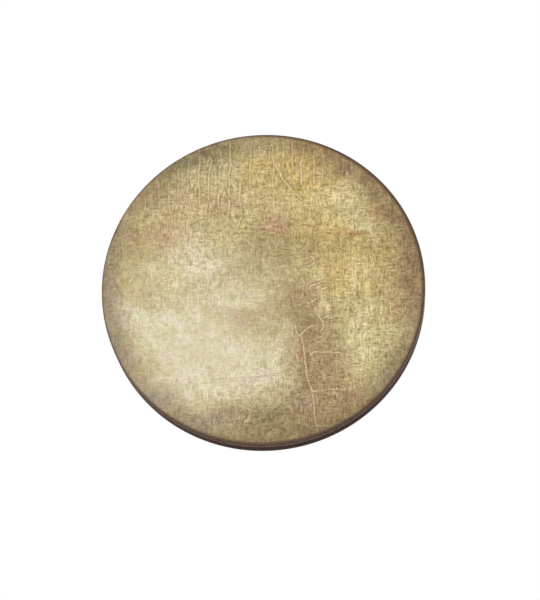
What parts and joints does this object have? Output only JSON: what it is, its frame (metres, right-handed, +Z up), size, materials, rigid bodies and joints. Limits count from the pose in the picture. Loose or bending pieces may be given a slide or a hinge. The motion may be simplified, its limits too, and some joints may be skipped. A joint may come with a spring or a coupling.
{
  "type": "frame drum",
  "caption": "Large shallow frame drum: a wooden hoop with a skin-like head, open at the back, where linked steel rings hang from screw eyes and swing against the head.",
  "frame": {"origin": "the middle of the drum, on its axis and halfway through its depth", "axes": "Y along the drum's axis with the head facing -Y and the open back +Y, Z up, the thumb scoop at the bottom"},
  "size_m": [0.5311, 0.0506, 0.5312],
  "materials": {
    "wood": "dark stained and lacquered",
    "film": "mottled skin-like film",
    "plated_steel": "nickel plated"
  },
  "bodies": {
    "drum": {"shell": "wood", "drumhead": "film", "screw_eyes": "plated_steel"},
    "chain_01_ring_1": {"chain_01_ring_1": "plated_steel"},
    "chain_01_ring_2": {"chain_01_ring_2": "plated_steel"},
    "chain_01_ring_3": {"chain_01_ring_3": "plated_steel"},
    "chain_02_ring_1": {"chain_02_ring_1": "plated_steel"},
    "chain_02_ring_2": {"chain_02_ring_2": "plated_steel"},
    "chain_02_ring_3": {"chain_02_ring_3": "plated_steel"},
    "chain_03_ring_1": {"chain_03_ring_1": "plated_steel"},
    "chain_03_ring_2": {"chain_03_ring_2": "plated_steel"},
    "chain_03_ring_3": {"chain_03_ring_3": "plated_steel"},
    "chain_04_ring_1": {"chain_04_ring_1": "plated_steel"},
    "chain_04_ring_2": {"chain_04_ring_2": "plated_steel"},
    "chain_04_ring_3": {"chain_04_ring_3": "plated_steel"},
    "chain_05_ring_1": {"chain_05_ring_1": "plated_steel"},
    "chain_05_ring_2": {"chain_05_ring_2": "plated_steel"},
    "chain_05_ring_3": {"chain_05_ring_3": "plated_steel"},
    "chain_06_ring_1": {"chain_06_ring_1": "plated_steel"},
    "chain_06_ring_2": {"chain_06_ring_2": "plated_steel"},
    "chain_06_ring_3": {"chain_06_ring_3": "plated_steel"},
    "chain_07_ring_1": {"chain_07_ring_1": "plated_steel"},
    "chain_07_ring_2": {"chain_07_ring_2": "plated_steel"},
    "chain_07_ring_3": {"chain_07_ring_3": "plated_steel"},
    "chain_08_ring_1": {"chain_08_ring_1": "plated_steel"},
    "chain_08_ring_2": {"chain_08_ring_2": "plated_steel"},
    "chain_08_ring_3": {"chain_08_ring_3": "plated_steel"},
    "chain_09_ring_1": {"chain_09_ring_1": "plated_steel"},
    "chain_09_ring_2": {"chain_09_ring_2": "plated_steel"},
    "chain_09_ring_3": {"chain_09_ring_3": "plated_steel"},
    "chain_10_ring_1": {"chain_10_ring_1": "plated_steel"},
    "chain_10_ring_2": {"chain_10_ring_2": "plated_steel"},
    "chain_10_ring_3": {"chain_10_ring_3": "plated_steel"},
    "chain_11_ring_1": {"chain_11_ring_1": "plated_steel"},
    "chain_11_ring_2": {"chain_11_ring_2": "plated_steel"},
    "chain_11_ring_3": {"chain_11_ring_3": "plated_steel"},
    "chain_12_ring_1": {"chain_12_ring_1": "plated_steel"},
    "chain_12_ring_2": {"chain_12_ring_2": "plated_steel"},
    "chain_12_ring_3": {"chain_12_ring_3": "plated_steel"},
    "chain_13_ring_1": {"chain_13_ring_1": "plated_steel"},
    "chain_13_ring_2": {"chain_13_ring_2": "plated_steel"},
    "chain_13_ring_3": {"chain_13_ring_3": "plated_steel"},
    "chain_14_ring_1": {"chain_14_ring_1": "plated_steel"},
    "chain_14_ring_2": {"chain_14_ring_2": "plated_steel"},
    "chain_14_ring_3": {"chain_14_ring_3": "plated_steel"},
    "chain_15_ring_1": {"chain_15_ring_1": "plated_steel"},
    "chain_15_ring_2": {"chain_15_ring_2": "plated_steel"},
    "chain_15_ring_3": {"chain_15_ring_3": "plated_steel"},
    "chain_16_ring_1": {"chain_16_ring_1": "plated_steel"},
    "chain_16_ring_2": {"chain_16_ring_2": "plated_steel"},
    "chain_16_ring_3": {"chain_16_ring_3": "plated_steel"},
    "chain_17_ring_1": {"chain_17_ring_1": "plated_steel"},
    "chain_17_ring_2": {"chain_17_ring_2": "plated_steel"},
    "chain_17_ring_3": {"chain_17_ring_3": "plated_steel"},
    "chain_18_ring_1": {"chain_18_ring_1": "plated_steel"},
    "chain_18_ring_2": {"chain_18_ring_2": "plated_steel"},
    "chain_18_ring_3": {"chain_18_ring_3": "plated_steel"},
    "chain_19_ring_1": {"chain_19_ring_1": "plated_steel"},
    "chain_19_ring_2": {"chain_19_ring_2": "plated_steel"},
    "chain_19_ring_3": {"chain_19_ring_3": "plated_steel"}
  },
  "joints": [
    {"name": "chain_01_ring_1_swing", "type": "hinge", "parent": "drum", "child": "chain_01_ring_1", "pos_m": [0.07204, 0.0133, -0.23591], "axis": [0.2269, 0, -0.9739], "range_deg": [-55, 90]},
    {"name": "chain_01_ring_2_sideways", "type": "hinge", "parent": "chain_01_ring_1", "child": "chain_01_ring_2", "pos_m": [0.05841, 0.0133, -0.23909], "axis": [0, 1, 0], "range_deg": [0, 90]},
    {"name": "chain_01_ring_3_swing", "type": "hinge", "parent": "chain_01_ring_2", "child": "chain_01_ring_3", "pos_m": [0.04487, 0.0133, -0.24224], "axis": [0.2269, 0, -0.9739], "range_deg": [-90, 90]},
    {"name": "chain_02_ring_1_swing", "type": "hinge", "parent": "drum", "child": "chain_02_ring_1", "pos_m": [0.14142, 0.0133, -0.2021], "axis": [0.5167, 0, -0.8561], "range_deg": [-55, 90]},
    {"name": "chain_02_ring_2_sideways", "type": "hinge", "parent": "chain_02_ring_1", "child": "chain_02_ring_2", "pos_m": [0.12943, 0.0133, -0.20933], "axis": [0, 1, 0], "range_deg": [0, 90]},
    {"name": "chain_02_ring_3_swing", "type": "hinge", "parent": "chain_02_ring_2", "child": "chain_02_ring_3", "pos_m": [0.11753, 0.0133, -0.21652], "axis": [0.5167, 0, -0.8561], "range_deg": [-90, 90]},
    {"name": "chain_03_ring_1_swing", "type": "hinge", "parent": "drum", "child": "chain_03_ring_1", "pos_m": [0.19695, 0.0133, -0.14851], "axis": [0.756, 0, -0.6546], "range_deg": [-55, 90]},
    {"name": "chain_03_ring_2_sideways", "type": "hinge", "parent": "chain_03_ring_1", "child": "chain_03_ring_2", "pos_m": [0.18778, 0.0133, -0.15909], "axis": [0, 1, 0], "range_deg": [0, 90]},
    {"name": "chain_03_ring_3_swing", "type": "hinge", "parent": "chain_03_ring_2", "child": "chain_03_ring_3", "pos_m": [0.17869, 0.0133, -0.1696], "axis": [0.756, 0, -0.6546], "range_deg": [-90, 90]},
    {"name": "chain_04_ring_1_swing", "type": "hinge", "parent": "drum", "child": "chain_04_ring_1", "pos_m": [0.2332, 0.0133, -0.08038], "axis": [0.9213, 0, -0.3889], "range_deg": [-55, 90]},
    {"name": "chain_04_ring_2_sideways", "type": "hinge", "parent": "chain_04_ring_1", "child": "chain_04_ring_2", "pos_m": [0.22776, 0.0133, -0.09328], "axis": [0, 1, 0], "range_deg": [0, 90]},
    {"name": "chain_04_ring_3_swing", "type": "hinge", "parent": "chain_04_ring_2", "child": "chain_04_ring_3", "pos_m": [0.22235, 0.0133, -0.10608], "axis": [0.9213, 0, -0.3889], "range_deg": [-90, 90]},
    {"name": "chain_05_ring_1_swing", "type": "hinge", "parent": "drum", "child": "chain_05_ring_1", "pos_m": [0.24663, 0.0133, -0.00438], "axis": [0.9964, 0, -0.0852], "range_deg": [-55, 90]},
    {"name": "chain_05_ring_2_sideways", "type": "hinge", "parent": "chain_05_ring_1", "child": "chain_05_ring_2", "pos_m": [0.24543, 0.0133, -0.01833], "axis": [0, 1, 0], "range_deg": [0, 90]},
    {"name": "chain_05_ring_3_swing", "type": "hinge", "parent": "chain_05_ring_2", "child": "chain_05_ring_3", "pos_m": [0.24425, 0.0133, -0.03218], "axis": [0.9964, 0, -0.0852], "range_deg": [-90, 90]},
    {"name": "chain_06_ring_1_swing", "type": "hinge", "parent": "drum", "child": "chain_06_ring_1", "pos_m": [0.23491, 0.0133, 0.07193], "axis": [1, 0, 0], "range_deg": [-55, 90]},
    {"name": "chain_06_ring_2_sideways", "type": "hinge", "parent": "chain_06_ring_1", "child": "chain_06_ring_2", "pos_m": [0.23491, 0.0133, 0.05793], "axis": [0, 1, 0], "range_deg": [-30, 90]},
    {"name": "chain_06_ring_3_swing", "type": "hinge", "parent": "chain_06_ring_2", "child": "chain_06_ring_3", "pos_m": [0.23491, 0.0133, 0.04403], "axis": [1, 0, 0], "range_deg": [-90, 90]},
    {"name": "chain_07_ring_1_swing", "type": "hinge", "parent": "drum", "child": "chain_07_ring_1", "pos_m": [0.19983, 0.0133, 0.14078], "axis": [1, 0, 0], "range_deg": [-55, 90]},
    {"name": "chain_07_ring_2_sideways", "type": "hinge", "parent": "chain_07_ring_1", "child": "chain_07_ring_2", "pos_m": [0.19983, 0.0133, 0.12678], "axis": [0, 1, 0], "range_deg": [-45, 90]},
    {"name": "chain_07_ring_3_swing", "type": "hinge", "parent": "chain_07_ring_2", "child": "chain_07_ring_3", "pos_m": [0.19983, 0.0133, 0.11288], "axis": [1, 0, 0], "range_deg": [-90, 90]},
    {"name": "chain_08_ring_1_swing", "type": "hinge", "parent": "drum", "child": "chain_08_ring_1", "pos_m": [0.14518, 0.0133, 0.19543], "axis": [1, 0, 0], "range_deg": [-55, 90]},
    {"name": "chain_08_ring_2_sideways", "type": "hinge", "parent": "chain_08_ring_1", "child": "chain_08_ring_2", "pos_m": [0.14518, 0.0133, 0.18143], "axis": [0, 1, 0], "range_deg": [-70, 90]},
    {"name": "chain_08_ring_3_swing", "type": "hinge", "parent": "chain_08_ring_2", "child": "chain_08_ring_3", "pos_m": [0.14518, 0.0133, 0.16753], "axis": [1, 0, 0], "range_deg": [-90, 90]},
    {"name": "chain_09_ring_1_swing", "type": "hinge", "parent": "drum", "child": "chain_09_ring_1", "pos_m": [0.07633, 0.0133, 0.23051], "axis": [1, 0, 0], "range_deg": [-55, 90]},
    {"name": "chain_09_ring_2_sideways", "type": "hinge", "parent": "chain_09_ring_1", "child": "chain_09_ring_2", "pos_m": [0.07633, 0.0133, 0.21651], "axis": [0, 1, 0], "range_deg": [-90, 90]},
    {"name": "chain_09_ring_3_swing", "type": "hinge", "parent": "chain_09_ring_2", "child": "chain_09_ring_3", "pos_m": [0.07633, 0.0133, 0.20261], "axis": [1, 0, 0], "range_deg": [-90, 90]},
    {"name": "chain_10_ring_1_swing", "type": "hinge", "parent": "drum", "child": "chain_10_ring_1", "pos_m": [0, 0.0133, 0.2426], "axis": [1, 0, 0], "range_deg": [-55, 90]},
    {"name": "chain_10_ring_2_sideways", "type": "hinge", "parent": "chain_10_ring_1", "child": "chain_10_ring_2", "pos_m": [0, 0.0133, 0.2286], "axis": [0, 1, 0], "range_deg": [-90, 90]},
    {"name": "chain_10_ring_3_swing", "type": "hinge", "parent": "chain_10_ring_2", "child": "chain_10_ring_3", "pos_m": [0, 0.0133, 0.2147], "axis": [1, 0, 0], "range_deg": [-90, 90]},
    {"name": "chain_11_ring_1_swing", "type": "hinge", "parent": "drum", "child": "chain_11_ring_1", "pos_m": [-0.07633, 0.0133, 0.23051], "axis": [1, 0, 0], "range_deg": [-55, 90]},
    {"name": "chain_11_ring_2_sideways", "type": "hinge", "parent": "chain_11_ring_1", "child": "chain_11_ring_2", "pos_m": [-0.07633, 0.0133, 0.21651], "axis": [0, -1, 0], "range_deg": [-90, 90]},
    {"name": "chain_11_ring_3_swing", "type": "hinge", "parent": "chain_11_ring_2", "child": "chain_11_ring_3", "pos_m": [-0.07633, 0.0133, 0.20261], "axis": [1, 0, 0], "range_deg": [-90, 90]},
    {"name": "chain_12_ring_1_swing", "type": "hinge", "parent": "drum", "child": "chain_12_ring_1", "pos_m": [-0.14518, 0.0133, 0.19543], "axis": [1, 0, 0], "range_deg": [-55, 90]},
    {"name": "chain_12_ring_2_sideways", "type": "hinge", "parent": "chain_12_ring_1", "child": "chain_12_ring_2", "pos_m": [-0.14518, 0.0133, 0.18143], "axis": [0, -1, 0], "range_deg": [-70, 90]},
    {"name": "chain_12_ring_3_swing", "type": "hinge", "parent": "chain_12_ring_2", "child": "chain_12_ring_3", "pos_m": [-0.14518, 0.0133, 0.16753], "axis": [1, 0, 0], "range_deg": [-90, 90]},
    {"name": "chain_13_ring_1_swing", "type": "hinge", "parent": "drum", "child": "chain_13_ring_1", "pos_m": [-0.19983, 0.0133, 0.14078], "axis": [1, 0, 0], "range_deg": [-55, 90]},
    {"name": "chain_13_ring_2_sideways", "type": "hinge", "parent": "chain_13_ring_1", "child": "chain_13_ring_2", "pos_m": [-0.19983, 0.0133, 0.12678], "axis": [0, -1, 0], "range_deg": [-45, 90]},
    {"name": "chain_13_ring_3_swing", "type": "hinge", "parent": "chain_13_ring_2", "child": "chain_13_ring_3", "pos_m": [-0.19983, 0.0133, 0.11288], "axis": [1, 0, 0], "range_deg": [-90, 90]},
    {"name": "chain_14_ring_1_swing", "type": "hinge", "parent": "drum", "child": "chain_14_ring_1", "pos_m": [-0.23491, 0.0133, 0.07193], "axis": [1, 0, 0], "range_deg": [-55, 90]},
    {"name": "chain_14_ring_2_sideways", "type": "hinge", "parent": "chain_14_ring_1", "child": "chain_14_ring_2", "pos_m": [-0.23491, 0.0133, 0.05793], "axis": [0, -1, 0], "range_deg": [-30, 90]},
    {"name": "chain_14_ring_3_swing", "type": "hinge", "parent": "chain_14_ring_2", "child": "chain_14_ring_3", "pos_m": [-0.23491, 0.0133, 0.04403], "axis": [1, 0, 0], "range_deg": [-90, 90]},
    {"name": "chain_15_ring_1_swing", "type": "hinge", "parent": "drum", "child": "chain_15_ring_1", "pos_m": [-0.24663, 0.0133, -0.00438], "axis": [0.9964, 0, 0.0852], "range_deg": [-55, 90]},
    {"name": "chain_15_ring_2_sideways", "type": "hinge", "parent": "chain_15_ring_1", "child": "chain_15_ring_2", "pos_m": [-0.24543, 0.0133, -0.01833], "axis": [0, -1, 0], "range_deg": [0, 90]},
    {"name": "chain_15_ring_3_swing", "type": "hinge", "parent": "chain_15_ring_2", "child": "chain_15_ring_3", "pos_m": [-0.24425, 0.0133, -0.03218], "axis": [0.9964, 0, 0.0852], "range_deg": [-90, 90]},
    {"name": "chain_16_ring_1_swing", "type": "hinge", "parent": "drum", "child": "chain_16_ring_1", "pos_m": [-0.2332, 0.0133, -0.08038], "axis": [0.9213, 0, 0.3889], "range_deg": [-55, 90]},
    {"name": "chain_16_ring_2_sideways", "type": "hinge", "parent": "chain_16_ring_1", "child": "chain_16_ring_2", "pos_m": [-0.22776, 0.0133, -0.09328], "axis": [0, -1, 0], "range_deg": [0, 90]},
    {"name": "chain_16_ring_3_swing", "type": "hinge", "parent": "chain_16_ring_2", "child": "chain_16_ring_3", "pos_m": [-0.22235, 0.0133, -0.10608], "axis": [0.9213, 0, 0.3889], "range_deg": [-90, 90]},
    {"name": "chain_17_ring_1_swing", "type": "hinge", "parent": "drum", "child": "chain_17_ring_1", "pos_m": [-0.19695, 0.0133, -0.14851], "axis": [0.756, 0, 0.6546], "range_deg": [-55, 90]},
    {"name": "chain_17_ring_2_sideways", "type": "hinge", "parent": "chain_17_ring_1", "child": "chain_17_ring_2", "pos_m": [-0.18778, 0.0133, -0.15909], "axis": [0, -1, 0], "range_deg": [0, 90]},
    {"name": "chain_17_ring_3_swing", "type": "hinge", "parent": "chain_17_ring_2", "child": "chain_17_ring_3", "pos_m": [-0.17869, 0.0133, -0.1696], "axis": [0.756, 0, 0.6546], "range_deg": [-90, 90]},
    {"name": "chain_18_ring_1_swing", "type": "hinge", "parent": "drum", "child": "chain_18_ring_1", "pos_m": [-0.14142, 0.0133, -0.2021], "axis": [0.5167, 0, 0.8561], "range_deg": [-55, 90]},
    {"name": "chain_18_ring_2_sideways", "type": "hinge", "parent": "chain_18_ring_1", "child": "chain_18_ring_2", "pos_m": [-0.12943, 0.0133, -0.20933], "axis": [0, -1, 0], "range_deg": [0, 90]},
    {"name": "chain_18_ring_3_swing", "type": "hinge", "parent": "chain_18_ring_2", "child": "chain_18_ring_3", "pos_m": [-0.11753, 0.0133, -0.21652], "axis": [0.5167, 0, 0.8561], "range_deg": [-90, 90]},
    {"name": "chain_19_ring_1_swing", "type": "hinge", "parent": "drum", "child": "chain_19_ring_1", "pos_m": [-0.07204, 0.0133, -0.23591], "axis": [0.2269, 0, 0.9739], "range_deg": [-55, 90]},
    {"name": "chain_19_ring_2_sideways", "type": "hinge", "parent": "chain_19_ring_1", "child": "chain_19_ring_2", "pos_m": [-0.05841, 0.0133, -0.23909], "axis": [0, -1, 0], "range_deg": [0, 90]},
    {"name": "chain_19_ring_3_swing", "type": "hinge", "parent": "chain_19_ring_2", "child": "chain_19_ring_3", "pos_m": [-0.04487, 0.0133, -0.24224], "axis": [0.2269, 0, 0.9739], "range_deg": [-90, 90]}
  ]
}
